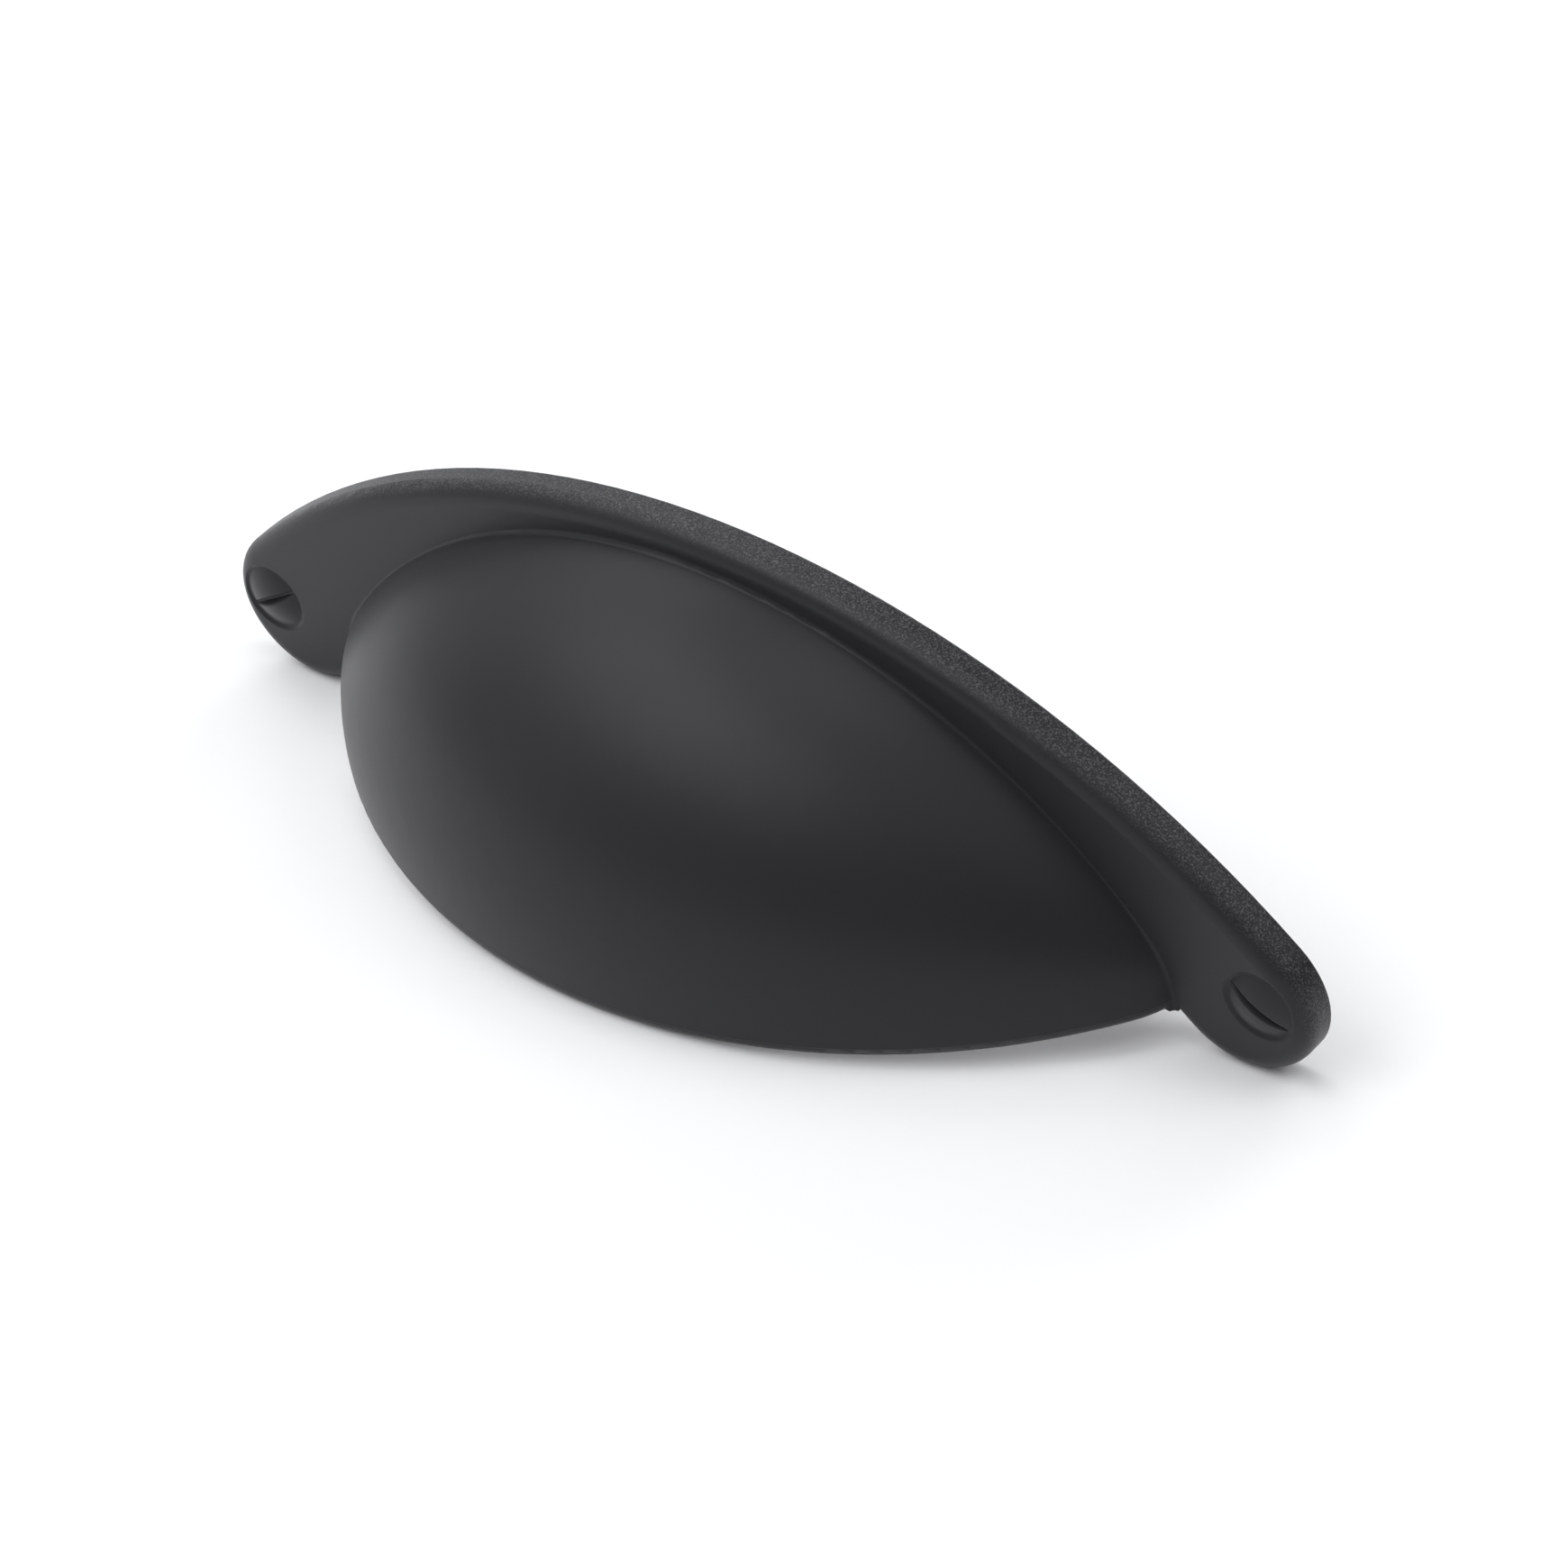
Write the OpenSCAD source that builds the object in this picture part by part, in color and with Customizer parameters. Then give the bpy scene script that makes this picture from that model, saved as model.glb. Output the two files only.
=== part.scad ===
// Cup pull for a drawer front: one black coated casting with a plate, a cup and two ears.
// Millimetres. X runs along the pull, +Y points into the drawer front, +Z is up.
// The origin is on the back face, midway between the two fixing bores.

/* [Overall] */
// Length over both ears
pull_w = 104.6; // [96:0.2:120]
// Height of the plate above the lowest point of the ears
pull_h = 31.4; // [29:0.2:36]
// Reach of the cup from the drawer front
pull_d = 24.8; // [21:0.2:28]

/* [Plate] */
// Thickness of the plate
plate_t = 3; // [2.6:0.1:4]
// Rounding of the plate's front edge
plate_round = 1.6; // [0.6:0.1:2]
// Radius of each ear
ear_r = 6.65; // [6:0.05:8]

/* [Cup] */
// Length of the cup along the back face
cup_w = 81.4; // [76:0.2:84]
// Radius of the round at each end of the cup
cup_end_r = 9.5; // [8:0.1:11]
// Hollow round at the root of the cup on the plate
root_r = 0.5; // [0.4:0.1:1.2]
// Wall of the cup
wall = 2.4; // [2:0.1:3]
// Height of the mouth's rim above the lowest point of the ears
rim_z = 3.2; // [2.5:0.1:5]

/* [Cast screw heads] */
// Distance between the two heads
head_pitch = 96.2; // [94:0.1:98]
// Height of the heads above the lowest point of the ears
head_z = 7.3; // [6.5:0.1:8]
// Radius of the dish round each head
dish_r = 3.1; // [3:0.1:3.6]
// Radius of each head at the bottom of its dish
head_r = 2.8; // [2.4:0.1:2.9]
// Depth of the dish
dish_depth = 0.2; // [0.2:0.05:0.6]
// Rise of the head above the plate
head_rise = 0.5; // [0.2:0.1:0.8]
// Width of the slot at the crown of the head
slot_w = 0.8; // [0.6:0.1:1.2]
// Width of the slot at its floor
slot_floor_w = 0.2; // [0.1:0.05:0.4]
// Depth of the slot below the crown of the head
slot_depth = 0.7; // [0.4:0.1:1]
// Turn of each slot from the length of the pull
slot_turn = 31; // [0:1:90]

/* [Fixing from behind] */
// Distance between the two fixing bores
fix_pitch = 64; // [60:1:66]
// Radius of each bore, the core of an M4 thread
fix_r = 1.65; // [1.5:0.05:1.75]
// Depth of each bore
fix_depth = 7.5; // [6:0.5:8.5]
// Radius of the post round each bore
post_r = 4.4; // [3.6:0.1:5]
// Height of the bores above the axis of the cup
fix_rise = 6.4; // [5.8:0.1:7]

/* [Hidden] */

// The arc along the top of the plate passes into the ears, so its radius follows from the height and length.
ear_x = pull_w / 2 - ear_r;
crown = pull_h - ear_r;
top_r = (pow(ear_x, 2) + pow(crown, 2) - pow(ear_r, 2)) / (2 * (crown - ear_r));
top_z = pull_h - top_r;
// Direction from the centre of the top arc to the centre of the right ear
ear_turn = atan2(ear_r - top_z, ear_x);

// The rim of the wall is fully rounded, a hair inside both its faces.
rim_r = 0.48 * wall;
// The cup is a quarter turn of this profile about its axis on the back face.
// A long arc forms its front and passes into a round at each end.
cup_z = rim_z + rim_r;
end_x = cup_w / 2 - cup_end_r;
front_r = (pow(end_x, 2) + pow(pull_d, 2) - pow(cup_end_r, 2)) / (2 * (pull_d - cup_end_r));
front_c = pull_d - front_r;
// Direction from the centre of the long arc to the centre of an end round
end_turn = atan2(-front_c, end_x);
quarter = 90;
// Overrun of a cut past the faces it opens
over = 1;
over_turn = 6;

// The root is the hollow left by a ball that rolls along cup and plate and bites a little into each.
// Its path is level with the plate: an arc over the crown that passes into an arc round each end.
bite = 0.02;
ball_r = root_r - bite;
ball_y = plate_t + ball_r;
path_end_r = sqrt(pow(cup_end_r + ball_r, 2) - pow(ball_y, 2));
path_z = sqrt(pow(pull_d + ball_r, 2) - pow(ball_y, 2));
path_r = (pow(end_x, 2) + pow(path_z, 2) - pow(path_end_r, 2)) / (2 * (path_z - path_end_r));
path_turn = atan2(path_r - path_z, end_x);
// It runs on beside the rim, to most of the rim's depth.
rim_turn = asin(0.9 * rim_r / path_end_r);
// The ball touches the cup this far behind its own centre, between the ends and the crown.
root_top = root_r * ball_y * (1 / (cup_end_r + ball_r) + 1 / (pull_d + ball_r)) / 2;

// The bores sit on the origin's height.
fix_z = cup_z + fix_rise;

// Head of a screw, cast in one with the ear: its dome runs on below the bottom of the dish
dish_slope = (dish_r - head_r) / dish_depth;
cap_h = head_rise + dish_depth;
cap_r = (pow(head_r, 2) + pow(cap_h, 2)) / (2 * cap_h);
// Each side of a slot leans out by this much as it rises.
slot_flare = (slot_w - slot_floor_w) / (2 * slot_depth);
// Depth that one piece runs on inside another, so that they join
sink = 0.4;
dish_sink = sink / 4;

// Fineness of the curved faces
fine = 72;
small = 20;

coat = [0.06, 0.06, 0.065];

// Half of the plate's cross-section, from the middle of its band to the rounded front edge
module half_section() {
    translate([0, -over])
        square([ear_r, plate_t - plate_round + over]);
    translate([0, -over])
        square([ear_r - plate_round, plate_t + over]);
    translate([ear_r - plate_round, plate_t - plate_round])
        circle(r = plate_round, $fn = small);
}

// Right part of the plate: a band of even width along the top arc, and the ear that ends it
module half_plate() {
    translate([0, 0, top_z])
        rotate([90, 0, 0])
            rotate([0, 0, ear_turn]) {
                rotate_extrude(angle = 90 - ear_turn + over_turn, $fn = fine)
                    translate([top_r - ear_r, 0]) {
                        half_section();
                        mirror([1, 0])
                            half_section();
                    }
                translate([top_r - ear_r, 0, 0])
                    mirror([0, 1, 0])
                        rotate_extrude(angle = 180, $fn = fine)
                            half_section();
            }
}

// Outline of the cup, as radius and length, with its wall taken off by the inset
module cup_profile(inset) {
    intersection() {
        union() {
            intersection() {
                translate([front_c, 0])
                    circle(r = front_r - inset, $fn = 2 * fine);
                translate([0, -end_x - (cup_end_r - inset) * cos(end_turn)])
                    square([pull_d, 2 * (end_x + (cup_end_r - inset) * cos(end_turn))]);
            }
            for (side = [-1, 1])
                translate([0, side * end_x])
                    circle(r = cup_end_r - inset, $fn = fine);
        }
        translate([0, -pull_w])
            square([pull_w, 2 * pull_w]);
    }
}

// Solid of the cup's outline, turned from the top of the back face to the front
module cup_solid(inset, before, turn) {
    translate([0, 0, cup_z])
        rotate([0, 90, 0])
            rotate([0, 0, 180 - before])
                rotate_extrude(angle = turn, $fn = fine)
                    cup_profile(inset);
}

// Cross-section of the hollow round at the root, about the centre of the ball
module root_section() {
    difference() {
        translate([-root_r - wall / 2, -ball_r - sink])
            square([root_r + wall / 2, ball_r + sink - root_top]);
        circle(r = root_r, $fn = fine);
    }
}

// Right part of the root: the arc over the crown, and the arc round the end
module half_root() {
    translate([0, -ball_y, cup_z + path_z - path_r])
        rotate([90, 0, 0])
            rotate([0, 0, path_turn]) {
                rotate_extrude(angle = 90 - path_turn + over_turn, $fn = fine)
                    translate([path_r, 0])
                        root_section();
                translate([path_r - path_end_r, 0, 0])
                    mirror([0, 1, 0])
                        rotate_extrude(angle = path_turn + rim_turn, $fn = fine)
                            translate([path_end_r, 0])
                                root_section();
            }
}

// Cross-section of the rounded rim, flat where it ends inside the wall
module rim_section() {
    intersection() {
        circle(r = rim_r, $fn = small);
        translate([-rim_r, -rim_r])
            square([2 * rim_r, 1.5 * rim_r]);
    }
}

// Right part of the rim: the front arc of the mouth, and the short arc that ends it
module half_rim() {
    translate([0, -front_c, cup_z])
        mirror([0, 1, 0])
            rotate([0, 0, end_turn]) {
                rotate_extrude(angle = 90 - end_turn + over_turn, $fn = fine)
                    translate([front_r - wall / 2, 0])
                        rim_section();
                translate([front_r - cup_end_r, 0, 0])
                    mirror([0, 1, 0])
                        rotate_extrude(angle = end_turn + over_turn, $fn = fine)
                            translate([cup_end_r - wall / 2, 0])
                                rim_section();
            }
}

// Post inside the cup for the right fixing bore, kept within the middle of the wall
module post() {
    intersection() {
        translate([fix_pitch / 2, over, fix_z])
            rotate([90, 0, 0])
                cylinder(r = post_r, h = pull_d, $fn = fine);
        cup_solid(wall / 2, over_turn, quarter + over_turn);
    }
}

// Blind bore for the right fixing screw, open at the back face
module bore() {
    translate([fix_pitch / 2, over, fix_z])
        rotate([90, 0, 0])
            cylinder(r = fix_r, h = fix_depth + over, $fn = fine);
}

// Dish that slopes down to the right head
module dish() {
    translate([head_pitch / 2, dish_depth + dish_sink - plate_t, head_z])
        rotate([90, 0, 0])
            cylinder(
                r1 = head_r - dish_slope * dish_sink,
                r2 = dish_r + dish_slope * over,
                h = dish_sink + dish_depth + over,
                $fn = fine
            );
}

// Cross-section of a slot, narrow at its floor and running on above the crown of the head
module slot_section() {
    polygon([
        [-slot_floor_w / 2, head_rise - slot_depth],
        [slot_floor_w / 2, head_rise - slot_depth],
        [slot_w / 2 + slot_flare * over, head_rise + over],
        [-slot_w / 2 - slot_flare * over, head_rise + over]
    ]);
}

// Domed and slotted head that stands in the right dish
module head() {
    translate([head_pitch / 2, -plate_t, head_z])
        rotate([90, 0, 0])
            difference() {
                rotate_extrude($fn = fine)
                    intersection() {
                        translate([0, head_rise - cap_r])
                            circle(r = cap_r, $fn = 2 * fine);
                        translate([0, -dish_depth - 2 * dish_sink])
                            square([dish_r, cap_h + 2 * dish_sink]);
                    }
                rotate([90, 0, 90 - slot_turn])
                    linear_extrude(height = 2 * dish_r, center = true)
                        slot_section();
            }
}

// The whole rim round the mouth
module rim() {
    for (side = [0, 1])
        mirror([side, 0, 0])
            intersection() {
                half_rim();
                translate([0, -pull_w, 0])
                    cube([pull_w, pull_w, pull_w]);
            }
}

// Plate and cup as solids, with the round along their root
module shape() {
    union() {
        union() {
            union() {
                half_plate();
                mirror([1, 0, 0])
                    half_plate();
            }
            cup_solid(0, over_turn, quarter + over_turn);
        }
        union() {
            half_root();
            mirror([1, 0, 0])
                half_root();
        }
    }
}

// The whole casting, cut flat at the back
module cup_pull() {
    color(coat)
        translate([0, 0, -fix_z])
            difference() {
                union() {
                    union() {
                        union() {
                            difference() {
                                shape();
                                cup_solid(wall, 2 * over_turn, quarter + 3 * over_turn);
                                for (side = [0, 1])
                                    mirror([side, 0, 0])
                                        dish();
                            }
                            rim();
                        }
                        for (side = [0, 1])
                            mirror([side, 0, 0])
                                post();
                    }
                    for (side = [0, 1])
                        mirror([side, 0, 0])
                            head();
                }
                for (side = [0, 1])
                    mirror([side, 0, 0])
                        bore();
                translate([-pull_w, 0, -pull_w])
                    cube([2 * pull_w, pull_w, 3 * pull_w]);
            }
}

cup_pull();
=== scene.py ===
"""A black cast cup pull for a drawer front, resting on a white table as in the photograph."""

import logging
import math
from dataclasses import dataclass, field
from enum import Enum
from typing import Any

import bmesh
import bpy
from mathutils import Matrix, Vector


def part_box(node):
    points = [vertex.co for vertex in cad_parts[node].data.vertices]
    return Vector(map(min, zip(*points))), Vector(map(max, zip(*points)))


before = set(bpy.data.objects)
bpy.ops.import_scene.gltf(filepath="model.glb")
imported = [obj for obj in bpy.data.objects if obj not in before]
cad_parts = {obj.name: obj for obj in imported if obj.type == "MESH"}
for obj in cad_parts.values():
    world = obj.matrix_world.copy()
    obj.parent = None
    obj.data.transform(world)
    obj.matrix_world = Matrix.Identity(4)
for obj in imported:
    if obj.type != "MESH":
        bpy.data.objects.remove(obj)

LOG = logging.getLogger("cup_pull")
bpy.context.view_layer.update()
MM = 0.001
PHOTO_PX = 1740
SENSOR_MM = 36.0
# The sRGB curve: a straight toe, and a power curve above it.
SRGB_TOE, SRGB_SLOPE, SRGB_LIFT, SRGB_POWER = 0.04045, 12.92, 0.055, 2.4
# A Mix node's colour sockets share their names with its other kinds, so they go by number.
MIX_FROM, MIX_TO, MIX_RESULT = 6, 7, 2


class Node(Enum):
    """The solids of the part's source."""

    CASTING = "cup_pull"


def linear(hex_colour: str) -> tuple[float, float, float, float]:
    """Turn an sRGB colour into the linear one that shaders take.

    Args:
        hex_colour: Six hex digits, such as "1c1c1e".

    Returns:
        Linear red, green and blue, and an alpha of one.
    """
    channels = [int(hex_colour[i:i + 2], 16) / 255 for i in (0, 2, 4)]
    red, green, blue = [
        c / SRGB_SLOPE if c <= SRGB_TOE else ((c + SRGB_LIFT) / (1 + SRGB_LIFT)) ** SRGB_POWER
        for c in channels
    ]
    return red, green, blue, 1.0


def outward(azimuth: float, elevation: float) -> Vector:
    """Give the direction from the pull to a place in the studio.

    Args:
        azimuth: Degrees round from the front, to the right.
        elevation: Degrees above the level.

    Returns:
        A unit vector.
    """
    turn, rise = math.radians(azimuth), math.radians(elevation)
    return Vector((
        math.sin(turn) * math.cos(rise),
        -math.cos(turn) * math.cos(rise),
        math.sin(rise),
    ))


def add_node(
    tree: bpy.types.NodeTree, kind: str, settings: dict[str, Any], inputs: dict[Any, Any]
) -> bpy.types.Node:
    """Add one shader node.

    Args:
        tree: The material's node tree.
        kind: The node's type name.
        settings: Properties to set on the node.
        inputs: A value or another node's output for each input, by name or number.

    Returns:
        The new node.
    """
    node = tree.nodes.new(kind)
    for name, value in settings.items():
        setattr(node, name, value)
    for name, value in inputs.items():
        if isinstance(value, bpy.types.NodeSocket):
            tree.links.new(value, node.inputs[name])
        else:
            node.inputs[name].default_value = value
    return node


def add_object(name: str, data: bpy.types.ID) -> bpy.types.Object:
    """Make an object and link it to the scene.

    Args:
        name: The object's name.
        data: Its mesh, lamp or lens.

    Returns:
        The object, at the origin.
    """
    made = bpy.data.objects.new(name, data)
    bpy.context.scene.collection.objects.link(made)
    return made


@dataclass(frozen=True)
class PowderCoat:
    """Matt black powder coat, sprayed dry on zinc and baked.

    It gives a deep grey-black with a wide soft sheen and a faint orange peel, and it runs softly
    over the edges. Along the edge of the plate, where the powder lies thin over the ground casting,
    a sandy grain shows, and the grain's crests are painted a lighter grey as painted glints where
    they would catch the light. The real grain is about 0.1 mm, and it is drawn half as coarse
    again so that the render can show it.
    """

    name: str = "matt_black_powder_coat"
    colour: str = "212123"
    # A lighter grey painted on the grain's crests: painted glints, not a colour of the coat.
    glint_colour: str = "585859"
    roughness: float = 0.4
    ior: float = 1.5
    gloss: float = 0.24
    sheen: float = 0.05
    edge_round_mm: float = 0.25
    edge_samples: int = 6
    peel_mm: float = 0.9
    peel_height_mm: float = 0.003
    peel_detail: float = 2.0
    grain_mm: float = 0.15
    grain_height_mm: float = 0.03
    grain_detail: float = 1.0
    # The grain starts and is full at these depths, counted from the back of the plate.
    grain_from_mm: float = -2.9
    grain_full_mm: float = -1.6
    # The painted glints on the grain's crests start to show and are full at these shares of the
    # grain's height.
    glint_from: float = 0.4
    glint_full: float = 0.82

    def material(self) -> bpy.types.Material:
        """Build the coat's material.

        Returns:
            The material.
        """
        made = bpy.data.materials.new(self.name)
        made.use_nodes = True
        tree = made.node_tree
        shader = tree.nodes["Principled BSDF"]
        place = add_node(tree, "ShaderNodeTexCoord", {}, {}).outputs["Object"]
        depth = add_node(tree, "ShaderNodeSeparateXYZ", {}, {"Vector": place}).outputs["Y"]
        edge = add_node(
            tree, "ShaderNodeMapRange", {"interpolation_type": "SMOOTHSTEP"},
            {
                "Value": depth,
                "From Min": self.grain_from_mm * MM,
                "From Max": self.grain_full_mm * MM,
            },
        ).outputs["Result"]
        peel = add_node(
            tree, "ShaderNodeTexNoise", {},
            {"Vector": place, "Scale": 1 / (self.peel_mm * MM), "Detail": self.peel_detail},
        ).outputs["Fac"]
        grain = add_node(
            tree, "ShaderNodeTexNoise", {},
            {"Vector": place, "Scale": 1 / (self.grain_mm * MM), "Detail": self.grain_detail},
        ).outputs["Fac"]
        # Painted glints: the grain's crests along the plate's edge are painted a lighter grey, as
        # if they caught the light.
        painted_glint = add_node(
            tree, "ShaderNodeMapRange", {"interpolation_type": "SMOOTHSTEP"},
            {
                "Value": grain,
                "From Min": self.glint_from,
                "From Max": self.glint_full,
                "To Max": edge,
            },
        ).outputs["Result"]
        # The coat's own colour, with the painted glints mixed in on the crests.
        coat_and_glint_colour = add_node(
            tree, "ShaderNodeMix", {"data_type": "RGBA"},
            {"Factor": painted_glint, MIX_FROM: linear(self.colour), MIX_TO: linear(self.glint_colour)},
        ).outputs[MIX_RESULT]
        soft = add_node(
            tree, "ShaderNodeBevel", {"samples": self.edge_samples},
            {"Radius": self.edge_round_mm * MM},
        ).outputs["Normal"]
        smooth = add_node(
            tree, "ShaderNodeBump", {},
            {"Height": peel, "Distance": self.peel_height_mm * MM, "Normal": soft},
        ).outputs["Normal"]
        rough = add_node(
            tree, "ShaderNodeBump", {},
            {
                "Height": grain,
                "Distance": self.grain_height_mm * MM,
                "Strength": edge,
                "Normal": smooth,
            },
        ).outputs["Normal"]
        tree.links.new(coat_and_glint_colour, shader.inputs["Base Color"])
        tree.links.new(rough, shader.inputs["Normal"])
        shader.inputs["Roughness"].default_value = self.roughness
        shader.inputs["IOR"].default_value = self.ior
        shader.inputs["Specular IOR Level"].default_value = self.gloss
        shader.inputs["Sheen Weight"].default_value = self.sheen
        return made


@dataclass(frozen=True)
class TablePaper:
    """White matt paper of a studio table, which gives an even ground with soft shadows."""

    name: str = "white_table_paper"
    colour: str = "f9f9fa"
    roughness: float = 0.9
    gloss: float = 0.1

    def material(self) -> bpy.types.Material:
        """Build the paper's material.

        Returns:
            The material.
        """
        made = bpy.data.materials.new(self.name)
        made.use_nodes = True
        shader = made.node_tree.nodes["Principled BSDF"]
        shader.inputs["Base Color"].default_value = linear(self.colour)
        shader.inputs["Roughness"].default_value = self.roughness
        shader.inputs["Specular IOR Level"].default_value = self.gloss
        return made


@dataclass
class Casting:
    """The pull itself: plate, ears, cast screw heads and finger cup in one piece."""

    node: Node = Node.CASTING
    coat: PowderCoat = field(default_factory=PowderCoat)

    def dress(self) -> bpy.types.Object:
        """Coat the casting.

        Returns:
            The coated object.
        """
        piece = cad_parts[self.node.value]
        piece.data.materials.clear()
        piece.data.materials.append(self.coat.material())
        return piece


@dataclass
class Table:
    """The white table, touching the rounded edges of both ears and the rim of the cup."""

    reach_mm: float = 1500.0
    sides: int = 96
    # What lies further out than this, to the left or right, is an ear.
    ear_from_mm: float = 43.0
    steepest_lean: float = 30.0
    halvings: int = 40
    paper: TablePaper = field(default_factory=TablePaper)

    def points(self) -> list[Vector]:
        """Give the corners of the casting's mesh."""
        return [v.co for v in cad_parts[Node.CASTING.value].data.vertices]

    def upright(self, lean: float) -> Vector:
        """Give the table's upright, in the pull's frame, for a lean in radians."""
        return Vector((0, math.sin(lean), math.cos(lean)))

    def lean(self) -> float:
        """Find how far the pull leans forward when it rests on its ears and rim.

        Returns:
            The angle between the pull's upright and the table's, in radians.
        """
        points = self.points()
        ears = [p for p in points if abs(p.x) > self.ear_from_mm * MM]
        cup = [p for p in points if abs(p.x) <= self.ear_from_mm * MM]
        low, high = 0.0, math.radians(self.steepest_lean)
        for _ in range(self.halvings):
            middle = (low + high) / 2
            up = self.upright(middle)
            if min(up.dot(p) for p in ears) < min(up.dot(p) for p in cup):
                low = middle
            else:
                high = middle
        return (low + high) / 2

    def place(self, lean: float) -> Matrix:
        """Work out the table's frame.

        Args:
            lean: How far the pull leans forward, in radians.

        Returns:
            A matrix from the table's own frame, with its top at zero, to the pull's frame.
        """
        up = self.upright(lean)
        low = min(up.dot(p) for p in self.points())
        return Matrix.Translation(up * low) @ Matrix.Rotation(-lean, 4, "X")

    def build(self, place: Matrix) -> bpy.types.Object:
        """Build the table top as a round sheet.

        Args:
            place: The table's frame.

        Returns:
            The staged table.
        """
        bm = bmesh.new()
        bmesh.ops.create_circle(
            bm, cap_ends=True, segments=self.sides, radius=self.reach_mm * MM, matrix=place
        )
        mesh = bpy.data.meshes.new("table")
        bm.to_mesh(mesh)
        bm.free()
        table = add_object("table", mesh)
        table.data.materials.append(self.paper.material())
        return table


@dataclass(frozen=True)
class Softbox:
    """One square studio light, aimed at the pull from an azimuth and elevation in degrees."""

    name: str
    azimuth: float
    elevation: float
    watts: float
    side_mm: float = 500.0
    distance_mm: float = 900.0
    colour: str = "fcfdfe"

    def build(self, table: Matrix) -> bpy.types.Object:
        """Hang the light over the table.

        Args:
            table: The table's frame.

        Returns:
            The light.
        """
        lamp = bpy.data.lights.new(self.name, "AREA")
        lamp.energy = self.watts
        lamp.size = self.side_mm * MM
        lamp.color = linear(self.colour)[:3]
        made = add_object(self.name, lamp)
        away = outward(self.azimuth, self.elevation)
        aim = away.to_track_quat("Z", "Y").to_matrix().to_4x4()
        made.matrix_world = table @ Matrix.Translation(away * self.distance_mm * MM) @ aim
        return made


@dataclass
class Studio:
    """The softboxes round the table, in a room that gives no light of its own."""

    room_strength: float = 0.0
    lights: tuple[Softbox, ...] = (
        Softbox("low_front", -10.0, 20.0, 0.34),
        Softbox("low_front_left", -47.0, 20.0, 0.58),
        Softbox("low_left", -85.0, 20.0, 0.6),
        Softbox("low_back_left", -125.0, 20.0, 0.77),
        Softbox("low_back", -170.0, 20.0, 3.0),
        Softbox("low_right", 75.0, 20.0, 0.31),
        Softbox("low_front_right", 30.0, 20.0, 0.28),
        Softbox("high_front", -10.0, 50.0, 1.87),
        Softbox("high_front_left", -47.0, 50.0, 1.97),
        Softbox("high_left", -85.0, 50.0, 1.39),
        Softbox("high_back_left", -125.0, 50.0, 1.15),
        Softbox("high_back_right", 125.0, 50.0, 1.44),
        Softbox("high_right", 75.0, 50.0, 0.72),
        Softbox("high_front_right", 30.0, 50.0, 0.48),
        Softbox("top", 0.0, 88.0, 1.78),
    )

    def build(self, table: Matrix) -> None:
        """Set up the room and the lights.

        Args:
            table: The table's frame.
        """
        world = bpy.data.worlds.new("dark_room")
        bpy.context.scene.world = world
        world.use_nodes = True
        back = world.node_tree.nodes["Background"]
        back.inputs["Strength"].default_value = self.room_strength
        for light in self.lights:
            light.build(table)
        view = bpy.context.scene.view_settings
        view.view_transform = "Standard"
        view.look = "None"


@dataclass
class PhotoCamera:
    """The photograph's camera, fitted to the outline of the pull."""

    name: str = "photo_camera"
    azimuth: float = 45.29
    elevation: float = 39.75
    roll: float = -10.44
    distance_mm: float = 511.77
    aim_x_mm: float = 1.71
    aim_over_ears_mm: float = 6.52
    focal_px: float = 7501.76
    near_mm: float = 10.0
    far_mm: float = 20000.0

    def build(self) -> bpy.types.Object:
        """Set up the camera.

        Returns:
            The scene's camera.
        """
        turn, roll = math.radians(self.azimuth), math.radians(self.roll)
        back = outward(self.azimuth, self.elevation)
        level = Vector((math.cos(turn), math.sin(turn), 0))
        steep = back.cross(level)
        right = level * math.cos(roll) + steep * math.sin(roll)
        up = steep * math.cos(roll) - level * math.sin(roll)
        ears_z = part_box(Node.CASTING.value)[0].z
        aim = Vector((self.aim_x_mm * MM, 0, ears_z + self.aim_over_ears_mm * MM))
        lens = bpy.data.cameras.new(self.name)
        lens.sensor_width = SENSOR_MM
        lens.lens = SENSOR_MM * self.focal_px / PHOTO_PX
        lens.clip_start = self.near_mm * MM
        lens.clip_end = self.far_mm * MM
        made = add_object(self.name, lens)
        turned = Matrix((right, up, back)).transposed().to_4x4()
        made.matrix_world = Matrix.Translation(aim + back * self.distance_mm * MM) @ turned
        bpy.context.scene.camera = made
        return made


def main() -> None:
    """Build the camera, the pull, the table and the lights."""
    logging.basicConfig(level=logging.INFO, format="%(name)s: %(message)s")
    LOG.info("set up %s", PhotoCamera().build().name)
    LOG.info("dressed %s", Casting().dress().name)
    table = Table()
    lean = table.lean()
    place = table.place(lean)
    LOG.info("built %s, the pull leans %.2f degrees", table.build(place).name, math.degrees(lean))
    studio = Studio()
    studio.build(place)
    LOG.info("hung %d softboxes", len(studio.lights))


if __name__ == "__main__":
    main()
